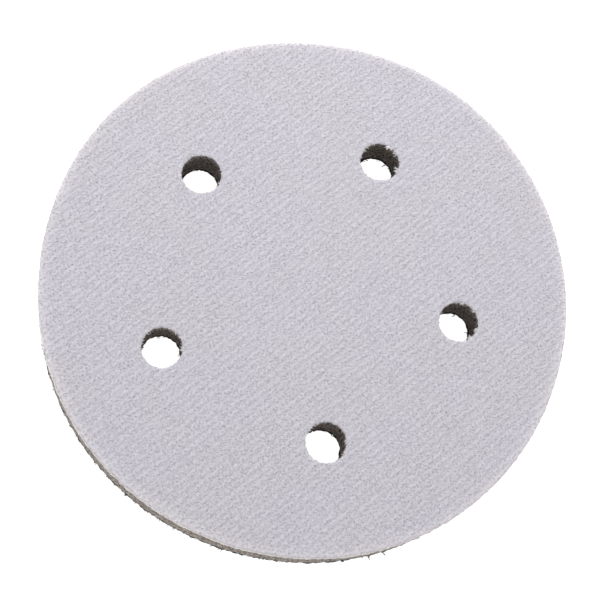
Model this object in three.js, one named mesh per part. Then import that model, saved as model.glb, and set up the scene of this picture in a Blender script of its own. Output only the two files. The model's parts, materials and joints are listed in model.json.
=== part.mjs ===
// Foam interface pad for a 5 in (125 mm) random orbital sander.
// A soft foam disc with hook tape bonded under it and brushed loop fabric bonded on top, all
// punched with the sander's five dust holes. Millimetres, +Z up. The origin is the centre of the
// plane that the hook tips rest on; the loop face looks up, to the sander.
import * as THREE from "three";

// Driving dimensions
const LOOP_SIDE_DIAMETER = 125.0; // the loop fabric and the top of the foam
const HOOK_SIDE_DIAMETER = 125.5; // the hook tape, which the die leaves a little wider
const FOAM_DIAMETER = 125.2; // the foam's wall, between the two
const HOLE_DIAMETER = 9.5; // 3/8 in punch
const HOLE_RING_DIAMETER = 73.7;
const HOLE_COUNT = 5;
const FIRST_HOLE_ANGLE = Math.PI / 2; // the first hole is on +Y

// Smoothness of the round edges
const RIM_SEGMENTS = 120;
const HOLE_SEGMENTS = 24;

// The laminate, from the surface the pad lies on up to the loop face
const LAYERS = [
  { name: "hook_field", thickness: 1.4, diameter: HOOK_SIDE_DIAMETER, finish: "hookNylon" },
  { name: "hook_tape_ground", thickness: 0.5, diameter: HOOK_SIDE_DIAMETER, finish: "hookNylon" },
  { name: "hook_side_film", thickness: 0.2, diameter: FOAM_DIAMETER, finish: "meltFilm" },
  { name: "foam_core", thickness: 8.4, diameter: FOAM_DIAMETER, finish: "foam" },
  { name: "loop_side_film", thickness: 0.2, diameter: FOAM_DIAMETER, finish: "meltFilm" },
  { name: "loop_fabric_ground", thickness: 0.4, diameter: LOOP_SIDE_DIAMETER, finish: "loopNylon" },
  { name: "loop_pile", thickness: 0.5, diameter: LOOP_SIDE_DIAMETER, finish: "loopNylon" },
];

const FINISHES = {
  hookNylon: { color: 0x1d1c1c, roughness: 0.45, metalness: 0 },
  meltFilm: { color: 0xe6e0d2, roughness: 0.35, metalness: 0 },
  foam: { color: 0x8d8780, roughness: 0.95, metalness: 0 },
  loopNylon: { color: 0xcdcbd7, roughness: 0.9, metalness: 0 },
};

// The outline of one layer, seen from above: a disc with the ring of dust holes.
function discOutline(diameter) {
  const outline = new THREE.Shape();
  outline.setFromPoints(circlePoints(0, 0, diameter / 2, RIM_SEGMENTS));
  for (let i = 0; i < HOLE_COUNT; i++) {
    const angle = FIRST_HOLE_ANGLE + (i * 2 * Math.PI) / HOLE_COUNT;
    const x = (HOLE_RING_DIAMETER / 2) * Math.cos(angle);
    const y = (HOLE_RING_DIAMETER / 2) * Math.sin(angle);
    const hole = new THREE.Path();
    hole.setFromPoints(circlePoints(x, y, HOLE_DIAMETER / 2, HOLE_SEGMENTS).reverse());
    outline.holes.push(hole);
  }
  return outline;
}

function circlePoints(x, y, radius, segments) {
  return Array.from({ length: segments }, (_, i) => {
    const angle = (i * 2 * Math.PI) / segments;
    return new THREE.Vector2(x + radius * Math.cos(angle), y + radius * Math.sin(angle));
  });
}

// A layer between two heights. Its flat faces are set to exactly those heights, so that the face
// it shares with its bonded neighbour is the same plane in both.
function layerGeometry(diameter, bottom, top) {
  const geometry = new THREE.ExtrudeGeometry(discOutline(diameter), {
    depth: 1,
    bevelEnabled: false,
  });
  const corners = geometry.getAttribute("position");
  for (let i = 0; i < corners.count; i++) {
    corners.setZ(i, corners.getZ(i) > 0.5 ? top : bottom);
  }
  return geometry;
}

const pad = new THREE.Group();
let bottom = 0;
for (const { name, thickness, diameter, finish } of LAYERS) {
  const top = bottom + thickness;
  const layer = new THREE.Mesh(
    layerGeometry(diameter, bottom, top),
    new THREE.MeshStandardMaterial(FINISHES[finish]),
  );
  layer.name = name;
  pad.add(layer);
  bottom = top;
}

export default pad;
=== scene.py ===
import json
import math

import bmesh
import bpy
import numpy as np
from mathutils import Matrix, Vector


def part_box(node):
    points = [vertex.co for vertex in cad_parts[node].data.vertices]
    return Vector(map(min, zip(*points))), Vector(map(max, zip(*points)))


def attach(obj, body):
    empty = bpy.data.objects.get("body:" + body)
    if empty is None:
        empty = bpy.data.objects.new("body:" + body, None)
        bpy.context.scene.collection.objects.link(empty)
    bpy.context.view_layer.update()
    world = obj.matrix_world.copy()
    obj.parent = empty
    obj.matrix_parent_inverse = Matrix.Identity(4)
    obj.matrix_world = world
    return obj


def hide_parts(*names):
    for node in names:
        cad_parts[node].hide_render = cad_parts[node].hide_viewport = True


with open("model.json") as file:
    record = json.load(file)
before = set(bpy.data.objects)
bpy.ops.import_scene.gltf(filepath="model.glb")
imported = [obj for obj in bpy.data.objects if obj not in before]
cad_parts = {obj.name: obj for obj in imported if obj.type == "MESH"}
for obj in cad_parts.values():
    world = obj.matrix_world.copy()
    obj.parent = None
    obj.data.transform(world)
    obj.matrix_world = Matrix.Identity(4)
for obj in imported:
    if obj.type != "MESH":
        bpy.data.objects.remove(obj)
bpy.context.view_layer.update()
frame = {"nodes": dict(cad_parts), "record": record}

MM = 0.001
TURN = 2 * math.pi

# ---------------------------------------------------------------- sizes that the frame gives


def layer_span(node):
    """The heights of a layer's under and upper face."""
    low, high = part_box(node)
    return low.z, high.z


def layer_radius(node):
    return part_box(node)[1].x


def hole_centres():
    """The middles of the dust holes, from the boxes that the record keeps clear for them."""
    boxes = [opening["box_m"] for opening in frame["record"]["physics"]["openings"]]
    return [((low[0] + high[0]) / 2, (low[1] + high[1]) / 2) for low, high in boxes]


def punched_radius(node, centre):
    corners = frame["nodes"][node].data.vertices
    return min(math.hypot(v.co.x - centre[0], v.co.y - centre[1]) for v in corners)


HOLES = hole_centres()
HOLE_RING = math.hypot(*HOLES[0])
HOLE_RADIUS = punched_radius("loop_pile", HOLES[0])
LOOP_RADIUS = layer_radius("loop_pile")
FOAM_RADIUS = layer_radius("foam_core")
HOOK_RADIUS = layer_radius("hook_field")
TOP = layer_span("loop_pile")[1]

# ---------------------------------------------------------------- sizes of the finish

# The loop fabric's wales, which are the ribs its knitting leaves
WALE_PITCH = 1.59 * MM
WALE_ANGLE = math.radians(68.6)  # the way the ribs run, from +X
NAP_STEP = WALE_PITCH / 4  # the mesh under the nap, four steps to a rib

# The die cut the rim a little off the ring of holes, and the foam sprang back a little out of
# round. Heights are to the nearest 0.05 mm, and a crest's bearing to the nearest 10 degrees:
# (waves to a turn, height, bearing of a crest)
OFF_CENTRE = 0.35 * MM
OFF_CENTRE_BEARING = math.radians(35)
OUT_OF_ROUND = [
    (2, 0.15 * MM, math.radians(-70)),
    (3, 0.10 * MM, math.radians(60)),
    (4, 0.20 * MM, math.radians(-20)),
    (5, 0.10 * MM, math.radians(20)),
]

# Where the punch came out on the hook side, past where it went in, for each dust hole
PUNCH_DRIFT = [(0, 0), (0, 0), (-0.22 * MM, 0.4 * MM), (0, 0), (0, 0)]

# Foam cells where the die cut them open
FOAM_CELL = 0.62 * MM
FOAM_PIT = 0.26 * MM
FOAM_STEP = 0.25 * MM

# The hook tape: a plain weave, drawn with threads of about twice their real width so that they
# show, and rows of monofilament hooks that lean both ways along it
TAPE_ANGLE = math.radians(21)
TAPE_THREAD = 0.9 * MM
HOOK_ROW_PITCH = 1.5 * MM
HOOK_PITCH = 1.2 * MM
HOOK_WIRE = 0.1 * MM
HOOK_BEND = 0.34 * MM
HOOK_TURN = math.radians(205)  # how far a hook bends round
MIDDLE_HOOK_BAND = 0.54  # the width of the middle of three bands of hooks, as a share of the radius

# Past this share of the radius, an edge is the rim and not a dust hole
RIM_ZONE = 0.85

FLAT = 1e-6  # heights closer than this are on one level

# ---------------------------------------------------------------- noise


def smooth(t):
    return t * t * (3 - 2 * t)


def patches(x, y, cell, seed):
    """Soft random patches between -1 and 1, one to a cell, at every (x, y)."""
    size = 512
    values = np.random.default_rng(seed).uniform(-1, 1, (size, size))
    gx, gy = x / cell + size / 2, y / cell + size / 2
    ix, iy = np.floor(gx).astype(int), np.floor(gy).astype(int)
    fx, fy = smooth(gx - ix), smooth(gy - iy)
    this_x, this_y, next_x, next_y = ix % size, iy % size, (ix + 1) % size, (iy + 1) % size
    lower = values[this_x, this_y] * (1 - fx) + values[next_x, this_y] * fx
    upper = values[this_x, next_y] * (1 - fx) + values[next_x, next_y] * fx
    return lower * (1 - fy) + upper * fy


def cell_depth(points, cell, seed):
    """How deep each point lies in the foam cell round it: 1 at a cell's middle, 0 at its walls."""
    size = 64
    offsets = np.random.default_rng(seed).uniform(0, 1, (size, size, size, 3))
    scaled = points / cell
    base = np.floor(scaled).astype(int)
    nearest = np.full(len(points), 9.0)
    second = np.full(len(points), 9.0)
    for step in np.ndindex(3, 3, 3):
        corner = base + np.array(step) - 1
        middle = corner + offsets[tuple((corner % size).T)]
        distance = np.linalg.norm(scaled - middle, axis=1)
        second = np.minimum(second, np.maximum(nearest, distance))
        nearest = np.minimum(nearest, distance)
    return np.clip((second - nearest) / 0.6, 0, 1)


# ---------------------------------------------------------------- edges and meshes


class CutEdge:
    """A die-cut edge seen from above: a circle that wanders a little in and out."""

    def __init__(self, centre, radius, wander, seed, cell, is_rim=False, drift=(0, 0)):
        self.centre = centre
        self.drift = drift
        self.radius = radius
        self.is_rim = is_rim
        steps = round(TURN * radius / cell)
        self.wander = wander * np.random.default_rng(seed).uniform(-1, 1, steps)

    def radius_at(self, angle):
        place = np.mod(angle / TURN, 1) * len(self.wander)
        low = np.floor(place).astype(int)
        mix = smooth(place - low)
        count = len(self.wander)
        radius = self.radius + self.wander[low % count] * (1 - mix) + self.wander[(low + 1) % count] * mix
        if self.is_rim:
            radius = radius + OFF_CENTRE * np.cos(angle - OFF_CENTRE_BEARING)
            for waves, height, crest in OUT_OF_ROUND:
                radius = radius + height * np.cos(waves * (angle - crest))
        return radius

    def depth(self, x, y):
        """How far a point lies inside the material, measured from this edge."""
        dx, dy = x - self.centre[0], y - self.centre[1]
        past = np.hypot(dx, dy) - self.radius_at(np.arctan2(dy, dx))
        return -past if self.is_rim else past

    def onto(self, x, y):
        """The point of the edge beside (x, y)."""
        dx, dy = x - self.centre[0], y - self.centre[1]
        scale = self.radius_at(np.arctan2(dy, dx)) / np.hypot(dx, dy)
        return self.centre[0] + dx * scale, self.centre[1] + dy * scale


def cut_edges(radius, hole_radius, wander, seed, cell=1.4 * MM, hook_side=False):
    """The rim and the dust holes of one layer."""
    edges = [CutEdge((0, 0), radius, wander, seed, cell, is_rim=True)]
    for i, (centre, drift) in enumerate(zip(HOLES, PUNCH_DRIFT)):
        if hook_side:
            centre = (centre[0] + drift[0], centre[1] + drift[1])
        edges.append(CutEdge(centre, hole_radius, wander, seed + 1 + i, cell, drift=drift))
    return edges


def edge_depth(edges, x, y):
    return np.min([edge.depth(x, y) for edge in edges], axis=0)


def punched_grid(edges, step, angle):
    """Corners and faces of a punched disc, on a square grid turned by angle. Corners within half a
    step of an edge are moved onto it, and what lies past it is left out."""
    count = math.ceil(edges[0].radius / step) + 3
    i, j = np.meshgrid(np.arange(-count, count + 1), np.arange(-count, count + 1), indexing="ij")
    x = (i * math.cos(angle) - j * math.sin(angle)) * step
    y = (i * math.sin(angle) + j * math.cos(angle)) * step
    x, y = x.ravel(), y.ravel()
    depths = np.array([edge.depth(x, y) for edge in edges])
    depth, nearest = depths.min(0), depths.argmin(0)
    inside, outside = depth >= step / 2, depth <= -step / 2
    for k, edge in enumerate(edges):
        beside = ~inside & ~outside & (nearest == k)
        x[beside], y[beside] = edge.onto(x[beside], y[beside])
    number = np.arange(i.size).reshape(i.shape)
    corners = [number[:-1, :-1], number[1:, :-1], number[1:, 1:], number[:-1, 1:]]
    cells = np.stack([c.ravel() for c in corners], axis=1)
    cells = cells[inside[cells].any(1)]
    past = outside[cells]
    faces = [tuple(c) for c in cells[past.sum(1) == 0]]
    for cell, out in zip(cells[past.sum(1) == 1], past[past.sum(1) == 1]):
        faces.append(tuple(cell[~out]))
    used = np.unique(np.concatenate([np.array(f) for f in faces]))
    lookup = dict(zip(used, range(len(used))))
    return x[used], y[used], [tuple(lookup[v] for v in f) for f in faces]


def closed_with_far_face(bm, rim, heights):
    """Draws the open edges of a face down through the heights, and fills the last one."""
    for z in heights:
        made = bmesh.ops.extrude_edge_only(bm, edges=rim)["geom"]
        for part in made:
            if isinstance(part, bmesh.types.BMVert):
                part.co.z = z
        rim = [e for e in made if isinstance(e, bmesh.types.BMEdge) and e.is_boundary]
    bmesh.ops.triangle_fill(bm, use_beauty=True, use_dissolve=False, edges=rim)


def punched_slab(edges, step, angle, fine_z, heights):
    """A closed layer with one finely meshed face, as a bmesh."""
    bm = bmesh.new()
    x, y, faces = punched_grid(edges, step, angle)
    corners = [bm.verts.new((a, b, fine_z)) for a, b in zip(x, y)]
    for face in faces:
        bm.faces.new([corners[k] for k in face])
    bmesh.ops.remove_doubles(bm, verts=bm.verts, dist=step / 6)
    closed_with_far_face(bm, [e for e in bm.edges if e.is_boundary], heights)
    bmesh.ops.recalc_face_normals(bm, faces=bm.faces)
    return bm


def punched_band(edges, low, high, along, rows, relief=None, follow_drift=False):
    """A closed layer with finely meshed walls and coarse flat faces, as a bmesh with the relief of its
    walls. relief(points, is_rim) gives how far each wall point moves, and its painted shading, which is the
    painted shade and painted light in the wall's colour."""
    bm = bmesh.new()
    painted_shading = bm.verts.layers.float.new("painted_shading")
    heights = np.linspace(high, low, rows + 1)
    for edge in edges:
        count = round(TURN * edge.radius / along)
        angle = np.arange(count) * TURN / count
        radius = edge.radius_at(angle)
        side = 1 if edge.is_rim else -1
        outward = np.stack([np.cos(angle), np.sin(angle)], axis=1) * side
        ring = np.stack([np.cos(angle), np.sin(angle)], axis=1) * radius[:, None] + edge.centre
        points = np.array([[x, y, z] for z in heights for x, y in ring])
        if follow_drift:
            points[:, :2] += np.outer((high - points[:, 2]) / (high - low), edge.drift)
        faces_out = np.tile(outward, (rows + 1, 1))
        painted_shadings = np.zeros(len(points))
        if relief:
            shift, painted_shadings = relief(points, edge.is_rim)
            points[:, :2] += faces_out * shift[:, None]
        corners = [bm.verts.new(p) for p in points]
        for corner, value in zip(corners, painted_shadings):
            corner[painted_shading] = value
        for row in range(rows):
            for k in range(count):
                a, b = row * count + k, row * count + (k + 1) % count
                bm.faces.new([corners[a], corners[a + count], corners[b + count], corners[b]])
    open_edges = [e for e in bm.edges if e.is_boundary]
    for z in (high, low):
        level = [e for e in open_edges if abs(e.verts[0].co.z - z) < FLAT]
        bmesh.ops.triangle_fill(bm, use_beauty=True, use_dissolve=False, edges=level)
    bmesh.ops.recalc_face_normals(bm, faces=bm.faces)
    return bm


def tube(path, radii, sides):
    """A closed bmesh tube along a list of points, with a radius at each."""
    bm = bmesh.new()
    path = [Vector(p) for p in path]
    across = Vector((0, 1, 0))
    rings = []
    for k, (point, radius) in enumerate(zip(path, radii)):
        ahead = (path[min(k + 1, len(path) - 1)] - path[max(k - 1, 0)]).normalized()
        up = across.cross(ahead).normalized()
        turns = [TURN * s / sides for s in range(sides)]
        ring = [point + radius * (math.cos(t) * across + math.sin(t) * up) for t in turns]
        rings.append([bm.verts.new(p) for p in ring])
    for ring, following in zip(rings, rings[1:]):
        for s in range(sides):
            after = (s + 1) % sides
            bm.faces.new([ring[s], ring[after], following[after], following[s]])
    bm.faces.new(rings[0])
    bm.faces.new(rings[-1])
    bmesh.ops.recalc_face_normals(bm, faces=bm.faces)
    return bm


def put_in_scene(name, bm_or_mesh, material=None, smooth_faces=True):
    """An object at the origin that holds the mesh."""
    if isinstance(bm_or_mesh, bmesh.types.BMesh):
        mesh = bpy.data.meshes.new(name)
        bm_or_mesh.to_mesh(mesh)
        bm_or_mesh.free()
    else:
        mesh = bm_or_mesh
        mesh.name = name
    piece = bpy.data.objects.new(name, mesh)
    bpy.context.scene.collection.objects.link(piece)
    if material:
        mesh.materials.append(material)
    mesh.polygons.foreach_set("use_smooth", [smooth_faces] * len(mesh.polygons))
    return piece


# ---------------------------------------------------------------- node trees


def add(tree, kind, inputs=(), **settings):
    """A node with its settings, and with its inputs set or linked."""
    node = tree.nodes.new(kind)
    for key, value in settings.items():
        setattr(node, key, value)
    for key, value in dict(inputs).items():
        if isinstance(value, bpy.types.NodeSocket):
            tree.links.new(value, node.inputs[key])
        else:
            node.inputs[key].default_value = value
    return node


def new_geometry_tree(name, inputs):
    """A geometry tree with a geometry in and out, and named inputs: (name, type, value)."""
    tree = bpy.data.node_groups.new(name, "GeometryNodeTree")
    tree.interface.new_socket("Geometry", in_out="INPUT", socket_type="NodeSocketGeometry")
    tree.interface.new_socket("Geometry", in_out="OUTPUT", socket_type="NodeSocketGeometry")
    for label, kind, value in inputs:
        made = tree.interface.new_socket(label, in_out="INPUT", socket_type="NodeSocket" + kind)
        if value is not None:
            made.default_value = value
    return tree


def finish_tree(tree, instances, shape_material):
    """Ends a tree: real geometry, with its material."""
    real = add(tree, "GeometryNodeRealizeInstances", {"Geometry": instances})
    named = add(tree, "GeometryNodeSetMaterial", {"Geometry": real.outputs[0], "Material": shape_material})
    add(tree, "NodeGroupOutput", {0: named.outputs[0]})


def jitter(tree, seed, spread):
    """A random turn about each axis, of up to spread either way. Its own seed keeps it apart from
    other values that are drawn from the same one."""
    low = add(tree, "ShaderNodeVectorMath", {0: spread, 1: (-1, -1, -1)}, operation="MULTIPLY")
    salt = add(tree, "ShaderNodeMath", {0: seed, 1: 11}, operation="ADD")
    pick = add(
        tree,
        "FunctionNodeRandomValue",
        {0: low.outputs[0], 1: spread, "Seed": salt.outputs[0]},
        data_type="FLOAT_VECTOR",
    )
    return pick.outputs[0]


def planting_tree():
    """Stands a copy of a shape on every corner of a mesh, turned and sized by its attributes
    "turn" and "size"."""
    tree = new_geometry_tree("planting", [("Shape", "Object", None), ("Finish", "Material", None)])
    given = add(tree, "NodeGroupInput").outputs
    points = add(tree, "GeometryNodeMeshToPoints", {"Mesh": given["Geometry"]})
    shape = add(tree, "GeometryNodeObjectInfo", {"Object": given["Shape"]})
    turn = add(tree, "GeometryNodeInputNamedAttribute", {"Name": "turn"}, data_type="FLOAT_VECTOR")
    size = add(tree, "GeometryNodeInputNamedAttribute", {"Name": "size"}, data_type="FLOAT")
    copies = add(
        tree,
        "GeometryNodeInstanceOnPoints",
        {
            "Points": points.outputs[0],
            "Instance": shape.outputs["Geometry"],
            "Rotation": turn.outputs[0],
            "Scale": size.outputs[0],
        },
    )
    finish_tree(tree, copies.outputs[0], given["Finish"])
    return tree


def brushing_tree():
    """Scatters fibres evenly over a surface and lays them all roughly one way."""
    tree = new_geometry_tree(
        "brushing",
        [
            ("Shape", "Object", None),
            ("Finish", "Material", None),
            ("Least spacing", "Float", 1e-3),
            ("Lay", "Vector", (0, 0, 0)),
            ("Random turn", "Vector", (0, 0, 0)),
            ("Shortest", "Float", 0.6),
            ("Longest", "Float", 1.3),
            ("Seed", "Int", 1),
        ],
    )
    given = add(tree, "NodeGroupInput").outputs
    roots = add(
        tree,
        "GeometryNodeDistributePointsOnFaces",
        {
            "Mesh": given["Geometry"],
            "Distance Min": given["Least spacing"],
            "Density Max": 6e6,
            "Seed": given["Seed"],
        },
        distribute_method="POISSON",
    )
    shape = add(tree, "GeometryNodeObjectInfo", {"Object": given["Shape"]})
    more = jitter(tree, given["Seed"], given["Random turn"])
    turned = add(tree, "ShaderNodeVectorMath", {0: given["Lay"], 1: more}, operation="ADD")
    size = add(
        tree,
        "FunctionNodeRandomValue",
        {2: given["Shortest"], 3: given["Longest"], "Seed": given["Seed"]},
        data_type="FLOAT",
    )
    copies = add(
        tree,
        "GeometryNodeInstanceOnPoints",
        {
            "Points": roots.outputs["Points"],
            "Instance": shape.outputs["Geometry"],
            "Rotation": turned.outputs[0],
            "Scale": size.outputs[1],
        },
    )
    finish_tree(tree, copies.outputs[0], given["Finish"])
    return tree


def grown(name, tree, ground, inputs):
    """The mesh that a tree makes from the ground object, as a plain object of its own."""
    modifier = ground.modifiers.new(name, "NODES")
    modifier.node_group = tree
    sockets = {s.name: s.identifier for s in tree.interface.items_tree if s.in_out == "INPUT"}
    for label, value in inputs.items():
        modifier[sockets[label]] = value
    graph = bpy.context.evaluated_depsgraph_get()
    mesh = bpy.data.meshes.new_from_object(ground.evaluated_get(graph), depsgraph=graph)
    ground.modifiers.remove(modifier)
    return put_in_scene(name, mesh)


def planted(name, shape, finish, roots, turns, sizes):
    """Copies of a shape at the roots, as one plain piece."""
    ground_mesh = bpy.data.meshes.new(name + "_roots")
    ground_mesh.from_pydata([tuple(p) for p in roots], [], [])
    turn = ground_mesh.attributes.new("turn", "FLOAT_VECTOR", "POINT")
    turn.data.foreach_set("vector", np.asarray(turns, np.float32).ravel())
    size = ground_mesh.attributes.new("size", "FLOAT", "POINT")
    size.data.foreach_set("value", np.asarray(sizes, np.float32))
    ground = put_in_scene(name + "_roots", ground_mesh)
    piece = grown(name, PLANTING, ground, {"Shape": shape, "Finish": finish})
    bpy.data.objects.remove(ground)
    return piece


# ---------------------------------------------------------------- materials


def linear(hex_colour):
    """An sRGB hex colour as linear RGBA."""
    parts = [int(hex_colour[k : k + 2], 16) / 255 for k in (1, 3, 5)]
    return tuple(p / 12.92 if p <= 0.04045 else ((p + 0.055) / 1.055) ** 2.4 for p in parts) + (1.0,)


def new_material(name, **shader_inputs):
    """A material with a Principled shader, whose plain values sit on its own sockets."""
    material = bpy.data.materials.new(name)
    material.use_nodes = True
    tree = material.node_tree
    shader = tree.nodes["Principled BSDF"]
    for key, value in shader_inputs.items():
        shader.inputs[key.replace("_", " ")].default_value = value
    return material, tree, shader


def object_place(tree, angle=0.0, stretch=(1, 1, 1)):
    """Object coordinates, turned so that X runs along angle. A pattern on them is drawn out along
    each of those axes by stretch."""
    coordinates = add(tree, "ShaderNodeTexCoord")
    turned = add(
        tree,
        "ShaderNodeMapping",
        {"Vector": coordinates.outputs["Object"], "Rotation": (0, 0, angle), "Scale": stretch},
        vector_type="TEXTURE",
    )
    return turned.outputs[0]


def two_tone(tree, amount, dark, light, low=0.0, high=1.0):
    """A colour between dark and light, as amount goes from low to high."""
    ramp = add(tree, "ShaderNodeMapRange", {"Value": amount, "From Min": low, "From Max": high})
    mix = add(
        tree,
        "ShaderNodeMix",
        {"Factor": ramp.outputs[0], 6: dark, 7: light},
        data_type="RGBA",
    )
    return mix.outputs[2]


def brushed_loop_nylon():
    """Brushed nylon velour. The nap is matt, pale and slightly lavender. Its colour is painted darker in the
    low parts of its relief and in small pits between its tufts, as painted shade; it is a trace yellower in
    faint patches; and it is painted whiter at the rim, where the cut loops have come open, and round the
    dust holes, as painted light on that frayed edge. Its fuzz is drawn coarser than single fibres, to show."""
    material, tree, shader = new_material(
        "brushed loop nylon", Roughness=0.92, Sheen_Weight=0.1, Sheen_Roughness=0.5
    )
    relief = add(tree, "ShaderNodeAttribute", attribute_name="relief").outputs["Fac"]
    edge = add(tree, "ShaderNodeAttribute", attribute_name="edge").outputs["Fac"]
    along_ribs = object_place(tree, WALE_ANGLE, (1.3, 1, 1))
    fuzz = add(
        tree,
        "ShaderNodeTexNoise",
        {"Vector": along_ribs, "Scale": 1 / (0.2 * MM), "Detail": 1.0, "Roughness": 0.5},
    )
    spot = add(
        tree,
        "ShaderNodeTexVoronoi",
        {"Vector": along_ribs, "Scale": 1 / (0.5 * MM), "Randomness": 1.0},
    )
    open_pit = add(
        tree,
        "ShaderNodeMapRange",
        {"Value": spot.outputs["Distance"], "From Min": 0.1, "From Max": 0.4},
        interpolation_type="SMOOTHSTEP",
    )
    # Painted shade: the nap runs from the dark tone in the low parts of its relief to the light tone on its
    # ribs, with the fuzz noise on top.
    lit = add(tree, "ShaderNodeMath", {0: fuzz.outputs[0], 1: 2.0, 2: relief}, operation="MULTIPLY_ADD")
    nap = two_tone(tree, lit.outputs[0], linear("#b4b1ba"), linear("#d2cfd8"), 1.0, 2.0)
    pitted = add(
        # Painted shade: small pits between the tufts are darker.
        tree,
        "ShaderNodeMix",
        {"Factor": open_pit.outputs[0], 6: linear("#a19ea8"), 7: nap},
        data_type="RGBA",
    )
    cloud = add(
        tree,
        "ShaderNodeTexNoise",
        {"Vector": object_place(tree), "Scale": 1 / (16 * MM), "Detail": 2.0},
    )
    warmth = add(
        tree, "ShaderNodeMapRange", {"Value": cloud.outputs[0], "From Min": 0.42, "From Max": 0.62}
    )
    warmer = add(
        tree,
        "ShaderNodeMix",
        {"Factor": warmth.outputs[0], 6: pitted.outputs[2], 7: linear("#fffffc")},
        data_type="RGBA",
        blend_type="MULTIPLY",
    )
    # Painted light: the nap is mixed towards a pale colour where the edge attribute is high, along the rim
    # and round the dust holes.
    frayed = add(
        tree,
        "ShaderNodeMix",
        {"Factor": edge, 6: warmer.outputs[2], 7: linear("#ebe4e6")},
        data_type="RGBA",
    )
    height = add(
        tree,
        "ShaderNodeMath",
        {0: fuzz.outputs[0], 1: 0.8, 2: open_pit.outputs[0]},
        operation="MULTIPLY_ADD",
    )
    relief_of_fuzz = {"Height": height.outputs[0], "Strength": 0.45, "Distance": 0.05 * MM}
    bump = add(tree, "ShaderNodeBump", relief_of_fuzz)
    tree.links.new(frayed.outputs[2], shader.inputs["Base Color"])
    tree.links.new(bump.outputs[0], shader.inputs["Normal"])
    return material


def nylon_fibre(name, colour, roughness):
    """Single nylon fibres. They are smoother than the nap that they make, so each has its own
    small glint, and no two are quite the same shade."""
    material, tree, shader = new_material(name, Roughness=roughness, Sheen_Weight=0.15)
    shade = add(
        tree,
        "ShaderNodeTexNoise",
        {"Vector": object_place(tree), "Scale": 1 / (0.6 * MM), "Detail": 2.0},
    )
    dark = tuple(0.8 * c for c in linear(colour)[:3]) + (1.0,)
    tone = two_tone(tree, shade.outputs[0], dark, linear(colour), 0.3, 0.6)
    tree.links.new(tone, shader.inputs["Base Color"])
    return material


def knitted_ground():
    """Warp-knit nylon ground cloth, undyed. Its cut edge shows as a cream line, broken up by the
    ends of the yarns."""
    material, tree, shader = new_material("undyed warp knit", Roughness=0.85, Sheen_Weight=0.1)
    yarn = add(
        tree,
        "ShaderNodeTexNoise",
        {"Vector": object_place(tree, 0, (1, 1, 0.5)), "Scale": 1 / (0.35 * MM), "Detail": 2.0},
    )
    tone = two_tone(tree, yarn.outputs[0], linear("#eae3dd"), linear("#fffdf9"), 0.3, 0.55)
    bump = add(tree, "ShaderNodeBump", {"Height": yarn.outputs[0], "Strength": 0.6, "Distance": 0.1 * MM})
    tree.links.new(tone, shader.inputs["Base Color"])
    tree.links.new(bump.outputs[0], shader.inputs["Normal"])
    return material


def melt_film():
    """Hot-melt polyurethane film. Where the die cut it, it is a thin smooth line, a little
    yellow and glossier than the cloth and foam that it joins."""
    material, tree, shader = new_material("hot-melt film", Roughness=0.38, IOR=1.5)
    run = add(
        tree,
        "ShaderNodeTexNoise",
        {"Vector": object_place(tree), "Scale": 1 / (1.5 * MM), "Detail": 2.0},
    )
    tone = two_tone(tree, run.outputs[0], linear("#bdb4a5"), linear("#eae3d6"), 0.35, 0.65)
    tree.links.new(tone, shader.inputs["Base Color"])
    return material


def cut_foam():
    """Open-celled grey polyurethane foam, die-cut. The cut walls of its cells are pale and dry, and the
    cells are painted darker the deeper they go, as painted shade. The die has dragged it a little, so that
    its specks are drawn out up and down. It is speckled most where its cells are open. Its colour also holds
    painted shade in the dust holes and towards the top of the wall, and painted light that makes the two
    holes nearest -Y lighter."""
    material, tree, shader = new_material("die-cut polyurethane foam", Roughness=0.97)
    # The wall's painted shading: painted shade in deep cells, in the dust holes and towards the top of the
    # wall, and painted light in the two holes nearest -Y.
    pit = add(tree, "ShaderNodeAttribute", attribute_name="painted_shading").outputs["Fac"]
    speck = add(
        tree,
        "ShaderNodeTexNoise",
        {"Vector": object_place(tree, 0, (1, 1, 1.9)), "Scale": 1 / (0.44 * MM), "Detail": 2.0},
    )
    centred = add(tree, "ShaderNodeMath", {0: speck.outputs[0], 1: 0.5}, operation="SUBTRACT")
    open_cells = add(tree, "ShaderNodeAttribute", attribute_name="open cells").outputs["Fac"]
    depth = add(
        tree, "ShaderNodeMath", {0: centred.outputs[0], 1: open_cells, 2: pit}, operation="MULTIPLY_ADD"
    )
    # Pale where the painted shading is low, near black where it is high: painted shade.
    tone = two_tone(tree, depth.outputs[0], linear("#b4a9a1"), linear("#1f1917"), -0.2, 1.15)
    bump = add(tree, "ShaderNodeBump", {"Height": speck.outputs[0], "Strength": 0.6, "Distance": 0.12 * MM})
    tree.links.new(tone, shader.inputs["Base Color"])
    tree.links.new(bump.outputs[0], shader.inputs["Normal"])
    return material


def woven_tape():
    """Black nylon tape, woven plain. Warp and weft pass over each other, so its light breaks into
    small squares."""
    material, tree, shader = new_material("black woven nylon", Roughness=0.6, Sheen_Weight=0.1)
    place = object_place(tree, TAPE_ANGLE)
    thread = add(
        tree,
        "ShaderNodeTexWave",
        {"Vector": place, "Scale": 1 / (0.25 * MM) / TURN, "Distortion": 1.0, "Detail": 2.0},
        bands_direction="X",
    )
    over = add(tree, "ShaderNodeAttribute", attribute_name="relief").outputs["Fac"]
    lift = add(tree, "ShaderNodeMath", {0: thread.outputs["Fac"], 1: 0.4, 2: over}, operation="MULTIPLY_ADD")
    tone = two_tone(tree, lift.outputs[0], linear("#0c0c0c"), linear("#2c2b2a"), 0.2, 1.2)
    bump = add(
        tree, "ShaderNodeBump", {"Height": thread.outputs["Fac"], "Strength": 0.5, "Distance": 0.05 * MM}
    )
    tree.links.new(tone, shader.inputs["Base Color"])
    tree.links.new(bump.outputs[0], shader.inputs["Normal"])
    return material


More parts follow.
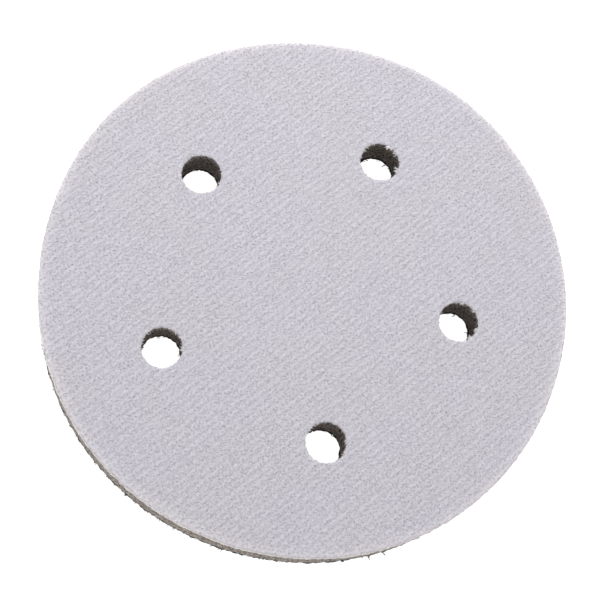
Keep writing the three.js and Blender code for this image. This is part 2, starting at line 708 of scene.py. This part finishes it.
def hook_monofilament():
    """Black nylon monofilament, drawn and heat-set into hooks. It is smooth, so each hook carries
    a thin highlight on its bend."""
    material, tree, shader = new_material("black nylon monofilament", Roughness=0.32, IOR=1.53)
    wear = add(
        tree,
        "ShaderNodeTexNoise",
        {"Vector": object_place(tree), "Scale": 1 / (3 * MM), "Detail": 2.0},
    )
    tone = two_tone(tree, wear.outputs[0], linear("#161514"), linear("#2b2927"), 0.35, 0.65)
    tree.links.new(tone, shader.inputs["Base Color"])
    return material


# ---------------------------------------------------------------- the pieces


def set_attribute(mesh, name, values):
    made = mesh.attributes.new(name, "FLOAT", "POINT")
    made.data.foreach_set("value", np.asarray(values, np.float32))


def corners_of(mesh):
    flat = np.empty(len(mesh.vertices) * 3)
    mesh.vertices.foreach_get("co", flat)
    return flat.reshape(-1, 3)


def nap_height(x, y):
    """The brushed nap's relief, from about -1 to 1: ribs along the wales, broken into tufts."""
    across = x * math.sin(WALE_ANGLE) - y * math.cos(WALE_ANGLE)
    along = x * math.cos(WALE_ANGLE) + y * math.sin(WALE_ANGLE)
    drift = 0.1 * WALE_PITCH * patches(across, along, 5 * MM, 3)
    ribs = np.cos(TURN * (across + drift) / WALE_PITCH)
    tufts = patches(across, along / 1.4, 0.8 * MM, 5)
    fine = patches(across, along, 0.42 * MM, 7)
    return 0.36 * ribs + 0.1 * tufts + 0.1 * fine


def near(distance, reach):
    """1 at no distance, falling to 0 at reach."""
    return np.clip(1 - distance / reach, 0, 1)


def nap_edges():
    return cut_edges(LOOP_RADIUS + 0.12 * MM, HOLE_RADIUS, 0.13 * MM, 21, cell=0.4 * MM)


def make_loop_nap(finish):
    """The brushed top of the loop fabric."""
    low, high = layer_span("loop_pile")
    edges = nap_edges()
    face = high - 0.15 * MM
    bm = punched_slab(edges, NAP_STEP, WALE_ANGLE, face, [(face + low) / 2, low])
    piece = put_in_scene("loop_nap", bm, finish)
    points = corners_of(piece.data)
    x, y, z = points.T
    from_rim = np.clip(edges[0].depth(x, y), 0, None)
    from_hole = np.clip(edge_depth(edges[1:], x, y), 0, None)
    height = nap_height(x, y)
    on_face = z > face - FLAT
    rounding = 0.14 * near(from_rim, 0.8 * MM) ** 2 + 0.1 * near(from_hole, 0.5 * MM) ** 2
    z[on_face] += MM * (0.11 * height - rounding)[on_face]
    piece.data.vertices.foreach_set("co", points.ravel())
    # The relief also sets the nap's colour, as painted shade in its low parts.
    set_attribute(piece.data, "relief", np.clip(0.5 + 0.5 * height, 0, 1))
    # Painted light on the frayed edge: the edge attribute lightens the nap over the outer 2.6 mm of the rim
    # and round the dust holes, in soft random patches.
    frayed = 0.42 * near(from_rim, 2.6 * MM) + 0.5 * near(from_rim, 0.8 * MM)
    frayed = frayed + 0.15 * near(from_hole, 0.6 * MM)
    set_attribute(piece.data, "edge", frayed * (0.75 + 0.25 * patches(x, y, 0.7 * MM, 13)))
    piece.data.update()
    return piece


def make_nap_fibres(nap, finish):
    """Loose loops that stand out of the nap, brushed along the ribs. They are drawn about three
    times as thick as single nylon fibres, so that they show."""
    loop = [
        (-0.25 * MM, 0, -0.05 * MM),
        (0.02 * MM, 0.02 * MM, 0.075 * MM),
        (0.26 * MM, 0.1 * MM, -0.04 * MM),
    ]
    shape = put_in_scene("loop_shape", tube(loop, [0.03 * MM, 0.055 * MM, 0.03 * MM], 3))
    tree = brushing_tree()
    made = []
    for k, label in enumerate(["a", "b", "c", "d"]):
        inputs = {
            "Shape": shape,
            "Finish": finish,
            "Least spacing": 0.81 * MM,
            "Lay": (0, 0, WALE_ANGLE),
            "Random turn": (0.5, 0.3, 1.2),
            "Shortest": 0.6,
            "Longest": 1.3,
            "Seed": 31 + k,
        }
        made.append(grown("nap_loops_" + label, tree, nap, inputs))
    bpy.data.objects.remove(shape)
    return made


def knit_relief(points, is_rim):
    yarn = patches(np.arctan2(points[:, 1], points[:, 0]) * LOOP_RADIUS, points[:, 2] * 3, 0.5 * MM, 41)
    return 0.06 * MM * yarn, np.zeros(len(points))


def make_loop_ground(finish):
    """The knitted ground cloth under the nap."""
    low, high = layer_span("loop_fabric_ground")
    edges = cut_edges(LOOP_RADIUS + 0.27 * MM, HOLE_RADIUS + 0.42 * MM, 0.1 * MM, 22, cell=0.5 * MM)
    band = punched_band(edges, low, high, 0.35 * MM, 3, knit_relief)
    return put_in_scene("loop_ground_cloth", band, finish)


def make_film(name, node, seed, finish):
    low, high = layer_span(node)
    is_lower = node == "hook_side_film"
    edges = cut_edges(layer_radius(node), HOLE_RADIUS + 0.3 * MM, 0.08 * MM, seed, hook_side=is_lower)
    return put_in_scene(name, punched_band(edges, low, high, 0.5 * MM, 1), finish)


def foam_relief(points, is_rim):
    """Cut cells in two sizes with larger bubbles among them, on a wall that the die has left very slightly
    hollow. It also gives the wall's painted shading: painted shade, darker the deeper a cell goes, darker
    over the whole wall of each dust hole and towards the top of the wall, and painted light that makes the
    two holes nearest -Y lighter."""
    low, high = layer_span("foam_core")
    x, y, z = points.T
    ways = [(x + y, z), (x - y, z), (x, y + z)]
    sway = [patches(a, b, 0.5 * MM, 54 + k) for k, (a, b) in enumerate(ways)]
    bent = points + 0.35 * FOAM_CELL * np.stack(sway, axis=1)
    large = cell_depth(bent, FOAM_CELL, 51)
    small = cell_depth(bent, FOAM_CELL * 0.6, 52)
    up = (z - low) / (high - low)
    hollow = 0.1 * MM * np.sin(math.pi * up)
    bubble = np.clip(cell_depth(bent, 1.15 * MM, 53) * 1.6 - 0.7, 0, 1)
    pit = 0.5 * large + 0.35 * small + 0.45 * bubble
    ends = np.clip(np.minimum(up, 1 - up) * 12, 0, 1)
    depth = FOAM_PIT * (pit - 0.35) * ends + hollow
    if is_rim:
        # Painted shade at the rim: darker in deep cells and towards the top of the wall.
        return -depth, pit + 0.3 * up**2 - 0.05
    flare = 0.3 * MM * np.clip(1 - (1 - up) * 5, 0, 1) ** 2
    # Painted shade in the dust holes: darker over the whole wall and more towards its top; painted light
    # makes the two holes nearest -Y lighter.
    painted_hole_light = np.where(y < 0, 0.22, 0)
    return -depth - flare, pit + 0.1 + 0.2 * up - painted_hole_light


def make_foam(finish):
    """The foam disc. Its speckle is strongest at the rim, and then in the two holes nearest -Y."""
    low, high = layer_span("foam_core")
    edges = cut_edges(FOAM_RADIUS + 0.1 * MM, HOLE_RADIUS, 0.06 * MM, 23)
    rows = round((high - low) / FOAM_STEP)
    band = punched_band(edges, low, high, FOAM_STEP, rows, foam_relief, follow_drift=True)
    piece = put_in_scene("foam_disc", band, finish)
    x, y, _ = corners_of(piece.data).T
    in_hole = np.where(y < 0, 4.8, 2.4)
    at_rim = np.hypot(x, y) > RIM_ZONE * FOAM_RADIUS
    set_attribute(piece.data, "open cells", np.where(at_rim, 5.4, in_hole))
    return piece


def tape_edges():
    return cut_edges(HOOK_RADIUS, HOLE_RADIUS - 0.15 * MM, 0.16 * MM, 24, cell=0.45 * MM, hook_side=True)


def make_tape(finish):
    """The woven ground of the hook tape, finely meshed underneath, where the weave shows."""
    low, high = layer_span("hook_tape_ground")
    edges = tape_edges()
    bm = punched_slab(edges, TAPE_THREAD / 2, TAPE_ANGLE, low, [(low + high) / 2, high])
    piece = put_in_scene("hook_tape", bm, finish)
    points = corners_of(piece.data)
    x, y, z = points.T
    warp = (x * math.cos(TAPE_ANGLE) + y * math.sin(TAPE_ANGLE)) / TAPE_THREAD
    weft = (y * math.cos(TAPE_ANGLE) - x * math.sin(TAPE_ANGLE)) / TAPE_THREAD
    over = np.cos(math.pi * warp) * np.cos(math.pi * weft)
    underneath = z < low + FLAT
    z[underneath] -= 0.07 * MM * over[underneath]
    piece.data.vertices.foreach_set("co", points.ravel())
    set_attribute(piece.data, "relief", 0.5 + 0.5 * over)
    piece.data.update()
    return piece


def hook_path(length):
    """A stem straight down, and a bend of a little more than half a turn."""
    stem = length - HOOK_BEND - HOOK_WIRE
    path = [(0, 0, 0.15 * MM), (0, 0, -0.5 * stem), (0, 0, -stem)]
    steps = 5
    for k in range(1, steps + 1):
        angle = math.pi + k * HOOK_TURN / steps
        path.append((HOOK_BEND * (1 + math.cos(angle)), 0, -stem + HOOK_BEND * math.sin(angle)))
    return path


def make_hooks(finish):
    """The rows of hooks, in three bands across the tape."""
    low, high = layer_span("hook_field")
    path = hook_path(high - low)
    radii = [HOOK_WIRE] * (len(path) - 1) + [HOOK_WIRE * 0.7]
    shape = put_in_scene("hook_shape", tube(path, radii, 5))
    random = np.random.default_rng(61)
    rows = math.ceil(HOOK_RADIUS / HOOK_ROW_PITCH)
    columns = math.ceil(HOOK_RADIUS / HOOK_PITCH)
    row, column = np.meshgrid(np.arange(-rows, rows + 1), np.arange(-columns, columns + 1), indexing="ij")
    row, column = row.ravel(), column.ravel()
    along = (column + 0.5 * (row % 2)) * HOOK_PITCH + random.uniform(-0.22, 0.22, row.size) * MM
    across = row * HOOK_ROW_PITCH + random.uniform(-0.15, 0.15, row.size) * MM
    x = along * math.cos(TAPE_ANGLE) - across * math.sin(TAPE_ANGLE)
    y = along * math.sin(TAPE_ANGLE) + across * math.cos(TAPE_ANGLE)
    facing = TAPE_ANGLE + math.pi * (row % 2)
    turn = np.stack([0 * x, 0 * x, facing], axis=1) + random.normal(0, [0.1, 0.1, 0.3], (row.size, 3))
    size = random.uniform(0.93, 1.0, row.size)
    edges = cut_edges(HOOK_RADIUS, HOLE_RADIUS, 0, 25, hook_side=True)
    kept = edge_depth(edges, x, y) > 0.18 * MM
    roots = np.stack([x, y, np.full(row.size, high)], axis=1)
    bands_out = (across / HOOK_RADIUS + MIDDLE_HOOK_BAND / 2) / MIDDLE_HOOK_BAND + 1
    band_of = np.clip(np.floor(bands_out), 0, 2)
    made = []
    for k, label in enumerate(["near", "middle", "far"]):
        mine = kept & (band_of == k)
        made.append(planted("hooks_" + label, shape, finish, roots[mine], turn[mine], size[mine]))
    bpy.data.objects.remove(shape)
    return made


def cut_ends(edges, spacings, inset, levels, random):
    """Where the cut ends of yarns stand along the edges of a layer, and which way is out. The two
    spacings are along the rim and round the holes."""
    places, bearings = [], []
    for edge in edges:
        count = round(TURN * edge.radius / spacings[0 if edge.is_rim else 1])
        angle = random.uniform(0, TURN, count)
        side = 1 if edge.is_rim else -1
        radius = edge.radius_at(angle) - side * random.uniform(*inset, count)
        x = edge.centre[0] + radius * np.cos(angle)
        y = edge.centre[1] + radius * np.sin(angle)
        places.append(np.stack([x, y, random.uniform(*levels, count)], axis=1))
        bearings.append(angle if edge.is_rim else angle + math.pi)
    return np.concatenate(places), np.concatenate(bearings)


def make_fringe(finish):
    """Cut loops that stand up along the rim and round the dust holes."""
    low, high = layer_span("loop_pile")
    bend = [(0, 0, 0), (0.06 * MM, 0, 0.24 * MM), (0.22 * MM, 0, 0.42 * MM)]
    shape = put_in_scene("fringe_shape", tube(bend, [0.045 * MM, 0.04 * MM, 0.02 * MM], 3))
    random = np.random.default_rng(71)
    inset, levels = (0.05 * MM, 0.3 * MM), (low + 0.1 * MM, high - 0.2 * MM)
    places, bearings = cut_ends(nap_edges(), (0.17 * MM, 0.22 * MM), inset, levels, random)
    count = len(places)
    tilt = random.normal(math.radians(48), 0.4, count)
    turns = np.stack([np.zeros(count), tilt, bearings + random.normal(0, 0.9, count)], axis=1)
    at_rim = np.hypot(*places[:, :2].T) > RIM_ZONE * LOOP_RADIUS
    sizes = 0.3 + np.where(at_rim, 0.55, 1.5) * random.uniform(0, 1, count) ** 2
    piece = planted("edge_fringe", shape, finish, places, turns, sizes)
    bpy.data.objects.remove(shape)
    return piece


def make_tape_ends(finish):
    """Cut yarn ends of the hook tape, along the rim and in the dust holes."""
    low = layer_span("hook_tape_ground")[0]
    bend = [(0, 0, 0), (0.03 * MM, 0, 0.22 * MM), (0.1 * MM, 0, 0.42 * MM)]
    shape = put_in_scene("yarn_end_shape", tube(bend, [0.09 * MM, 0.08 * MM, 0.04 * MM], 4))
    random = np.random.default_rng(75)
    inset, levels = (0.15 * MM, 0.4 * MM), (low, low + 0.25 * MM)
    places, bearings = cut_ends(tape_edges(), (0.4 * MM, 0.3 * MM), inset, levels, random)
    count = len(places)
    tilt = random.normal(math.radians(115), 0.35, count)
    turns = np.stack([np.zeros(count), tilt, bearings + random.normal(0, 0.6, count)], axis=1)
    sizes = random.uniform(0.35, 0.95, count)
    piece = planted("hook_tape_yarn_ends", shape, finish, places, turns, sizes)
    bpy.data.objects.remove(shape)
    return piece


# Tufts of pulled loops that hang over the holes: (hole, angle round it in degrees, length in mm)
TUFTS = [
    (0, 92, 1.0),
    (0, 80, 0.7),
    (0, 64, 0.9),
    (0, 6, 1.1),
    (2, 24, 0.7),
    (3, 31, 0.6),
    (4, 107, 0.6),
    (4, 67, 0.6),
    (4, 5, 0.7),
    (4, 333, 0.8),
]
STRANDS_IN_TUFT = 11


def make_tufts(finish):
    """Bunches of strands, drawn several times as thick as real ones so that they show."""
    low, high = layer_span("loop_pile")
    bend = [(0, 0, 0), (0.12 * MM, 0, 0.36 * MM), (0.36 * MM, 0, 0.72 * MM), (0.72 * MM, 0, 0.9 * MM)]
    shape = put_in_scene("tuft_shape", tube(bend, [0.08 * MM, 0.07 * MM, 0.06 * MM, 0.02 * MM], 4))
    random = np.random.default_rng(81)
    roots, turns, sizes = [], [], []
    for hole, degrees, length in TUFTS:
        middle = math.radians(degrees)
        for _ in range(STRANDS_IN_TUFT):
            angle = middle + random.normal(0, 0.06)
            radius = HOLE_RADIUS + random.uniform(-0.05, 0.2) * MM
            x = HOLES[hole][0] + radius * math.cos(angle)
            y = HOLES[hole][1] + radius * math.sin(angle)
            roots.append((x, y, random.uniform(low + 0.2 * MM, high - 0.15 * MM)))
            turns.append((0, random.normal(math.radians(72), 0.2), angle + math.pi + random.normal(0, 0.35)))
            sizes.append(length * random.uniform(0.55, 1.1))
    piece = planted("hole_tufts", shape, finish, roots, turns, sizes)
    bpy.data.objects.remove(shape)
    return piece


# Pulled fibres that cling to the foam's rim, and hooks that the die left sticking out: (edge,
# degrees round it, height in mm, turn in degrees, size). Edge 0 is the rim, 1 to 5 are the holes.
# They too are drawn thicker than real ones.
STRAY_FIBRES = [
    (0, 266.5, 6.9, 20, 1.5),
    (0, 267.2, 6.4, 140, 1.6),
    (0, 271, 6.5, 70, 1.3),
    (0, 314, 0.9, 200, 1.2),
]
STRAY_HOOKS = [
    (0, 313.5, 1.3, 0, 1.0),
    (0, 313.9, 1.2, 60, 0.8),
    (0, 316.6, 1.2, -30, 1.0),
    (0, 259, 1.1, 40, 0.6),
    (0, 264, 1.2, -50, 0.6),
    (1, 73, 1.3, 20, 1.0),
]
SHORT_HOOKS_AT_RIM = 420
SHORT_HOOKS_IN_HOLE = 14


def make_strays(name, shape, finish, strays, edges):
    """Single shapes that lie out from an edge."""
    roots, turns, sizes = [], [], []
    for number, degrees, height, turn, size in strays:
        edge, angle = edges[int(number)], math.radians(degrees)
        radius = edge.radius_at(np.array([angle]))[0]
        x = edge.centre[0] + radius * math.cos(angle)
        y = edge.centre[1] + radius * math.sin(angle)
        roots.append((x, y, height * MM))
        outward = angle if edge.is_rim else angle + math.pi
        turns.append((math.radians(turn), math.radians(90), outward))
        sizes.append(size)
    piece = planted(name, shape, finish, roots, turns, sizes)
    bpy.data.objects.remove(shape)
    return piece


def make_stray_fibres(finish):
    curl = [(0, 0, 0), (0.1 * MM, 0.3 * MM, 0.1 * MM), (-0.1 * MM, 0.7 * MM, 0.15 * MM), (0, MM, 0.05 * MM)]
    shape = put_in_scene("stray_fibre_shape", tube(curl, [0.05 * MM, 0.07 * MM, 0.07 * MM, 0.03 * MM], 4))
    edges = cut_edges(FOAM_RADIUS + 0.2 * MM, HOLE_RADIUS, 0, 28)
    return make_strays("stray_white_fibres", shape, finish, STRAY_FIBRES, edges)


def make_stray_hooks(finish):
    """The few that stand well out, and many small ones that the die cut short."""
    random = np.random.default_rng(91)
    edges = tape_edges()
    holes = np.repeat(np.arange(1, len(edges)), SHORT_HOOKS_IN_HOLE)
    numbers = np.concatenate([np.zeros(SHORT_HOOKS_AT_RIM), holes])
    count = len(numbers)
    spots = [random.uniform(0, 360, count), random.uniform(0.5, 1.5, count)]
    forms = [random.uniform(0, 360, count), random.uniform(0.25, 0.6, count)]
    short = np.stack([numbers, *spots, *forms], axis=1)
    bent = [(0, 0, -0.4 * MM), (0, 0, 0.3 * MM), (0.1 * MM, 0, 0.8 * MM), (0.4 * MM, 0, 1.05 * MM)]
    shape = put_in_scene("stray_hook_shape", tube(bent, [0.11 * MM, 0.12 * MM, 0.12 * MM, 0.07 * MM], 5))
    return make_strays("stray_hooks", shape, finish, [*STRAY_HOOKS, *short], edges)


def ride_all(pieces):
    for piece in pieces:
        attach(piece, "root")


PLANTING = planting_tree()
fibre = nylon_fibre("nap fibre", "#d2d0d9", 0.6)
fringe = nylon_fibre("frayed nylon", "#fbf8f9", 0.5)
film = melt_film()

loop_nap = make_loop_nap(brushed_loop_nylon())
nap_fibres = make_nap_fibres(loop_nap, fibre)
edge_fringe = make_fringe(fringe)
hole_tufts = make_tufts(fringe)
loop_ground = make_loop_ground(knitted_ground())
loop_film = make_film("loop_side_melt_film", "loop_side_film", 26, film)
foam_disc = make_foam(cut_foam())
hook_film = make_film("hook_side_melt_film", "hook_side_film", 27, film)
tape_finish = woven_tape()
hook_tape = make_tape(tape_finish)
tape_ends = make_tape_ends(tape_finish)
nylon = hook_monofilament()
hooks = make_hooks(nylon)
stray_fibres = make_stray_fibres(fringe)
stray_hooks = make_stray_hooks(nylon)

ride_all([loop_nap, *nap_fibres, edge_fringe, hole_tufts, stray_fibres])
ride_all([loop_ground])
ride_all([loop_film])
ride_all([foam_disc])
ride_all([hook_film])
ride_all([hook_tape, tape_ends])
ride_all([*hooks, stray_hooks])

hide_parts("loop_pile")
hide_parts("loop_fabric_ground")
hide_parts("loop_side_film")
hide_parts("foam_core")
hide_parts("hook_side_film")
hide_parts("hook_tape_ground")
for band in hooks:
    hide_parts("hook_field")

# ---------------------------------------------------------------- floor, light and camera


def make_floor():
    """A plain white sweep, bright enough to the eye to read as white through the dust holes too.
    Under the outer part of the pad it is left in the pad's own shade, so that the hooks there
    stand against a dark ground."""
    bm = bmesh.new()
    bmesh.ops.create_grid(bm, x_segments=1, y_segments=1, size=3.0)
    material = bpy.data.materials.new("white sweep")
    material.use_nodes = True
    tree = material.node_tree
    shader = tree.nodes["Principled BSDF"]
    shader.inputs["Base Color"].default_value = (0.8, 0.8, 0.8, 1)
    shader.inputs["Roughness"].default_value = 1.0
    shader.inputs["Emission Color"].default_value = (1, 1, 1, 1)
    seen = add(tree, "ShaderNodeLightPath").outputs["Is Camera Ray"]
    glow = add(tree, "ShaderNodeMapRange", {"Value": seen, "To Min": 0.16, "To Max": 1.0})
    place = add(tree, "ShaderNodeTexCoord").outputs["Object"]
    radius = add(tree, "ShaderNodeVectorMath", {0: place}, operation="LENGTH").outputs["Value"]
    shade_edges = [
        {"Value": radius, "From Min": HOLE_RING + 8 * MM, "From Max": HOLE_RING + 6.5 * MM},
        {"Value": radius, "From Min": HOOK_RADIUS - 1 * MM, "From Max": HOOK_RADIUS},
    ]
    inside, outside = [add(tree, "ShaderNodeMapRange", edge).outputs[0] for edge in shade_edges]
    open_floor = add(tree, "ShaderNodeMath", {0: inside, 1: outside}, operation="MAXIMUM")
    parts = {0: glow.outputs[0], 1: open_floor.outputs[0]}
    shaded = add(tree, "ShaderNodeMath", parts, operation="MULTIPLY")
    tree.links.new(shaded.outputs[0], shader.inputs["Emission Strength"])
    floor = put_in_scene("white_sweep", bm, material, smooth_faces=False)
    floor.location.z = -0.05 * MM


def lamp(name, bearing, height, distance, size, power):
    """A round soft lamp that faces the pad. Bearing and height are in degrees."""
    data = bpy.data.lights.new(name, "AREA")
    data.shape = "DISK"
    data.size = size
    data.energy = power
    made = bpy.data.objects.new(name, data)
    turn, rise = math.radians(bearing), math.radians(height)
    away = Vector((math.cos(turn) * math.cos(rise), math.sin(turn) * math.cos(rise), math.sin(rise)))
    made.location = distance * away
    made.rotation_euler = (-away).to_track_quat("-Z", "Y").to_euler()
    made.visible_camera = False
    bpy.context.scene.collection.objects.link(made)


def make_light():
    """An even white room, one large soft lamp high behind the pad, and three low panels that light
    its rim. The room is dimmer to the pad than it looks to the eye."""
    world = bpy.data.worlds.new("white room")
    world.use_nodes = True
    back = world.node_tree.nodes["Background"]
    back.inputs["Color"].default_value = (1, 1, 1, 1)
    seen = add(world.node_tree, "ShaderNodeLightPath").outputs["Is Camera Ray"]
    strength = add(world.node_tree, "ShaderNodeMapRange", {"Value": seen, "To Min": 0.5, "To Max": 1.05})
    world.node_tree.links.new(strength.outputs[0], back.inputs["Strength"])
    bpy.context.scene.world = world
    lamp("key_lamp", bearing=119, height=42, distance=0.68, size=0.44, power=3.95)
    lamp("left_panel", bearing=211, height=12, distance=0.8, size=0.6, power=1.6)
    lamp("front_panel", bearing=299, height=12, distance=0.8, size=0.6, power=1.3)
    lamp("right_panel", bearing=31, height=12, distance=0.8, size=0.6, power=1.6)


def make_camera():
    """Looks down at the loop face from in front, turned about its own axis."""
    azimuth, elevation, roll = math.radians(3.9), math.radians(72.9), math.radians(26.2)
    distance = 337.6 * MM
    target = Vector((0.12 * MM, -3.52 * MM, TOP))
    back = Vector(
        (
            math.sin(azimuth) * math.cos(elevation),
            -math.cos(azimuth) * math.cos(elevation),
            math.sin(elevation),
        )
    )
    level = Vector((math.cos(azimuth), math.sin(azimuth), 0))
    above = back.cross(level)
    right = level * math.cos(roll) + above * math.sin(roll)
    up = above * math.cos(roll) - level * math.sin(roll)
    data = bpy.data.cameras.new("camera")
    data.sensor_width = 36.0
    data.lens = 86.8
    camera = bpy.data.objects.new("camera", data)
    turned = Matrix((right, up, back)).transposed().to_4x4()
    camera.matrix_world = Matrix.Translation(target + back * distance) @ turned
    bpy.context.scene.collection.objects.link(camera)
    bpy.context.scene.camera = camera


make_floor()
make_light()
make_camera()
bpy.context.scene.view_settings.view_transform = "Standard"
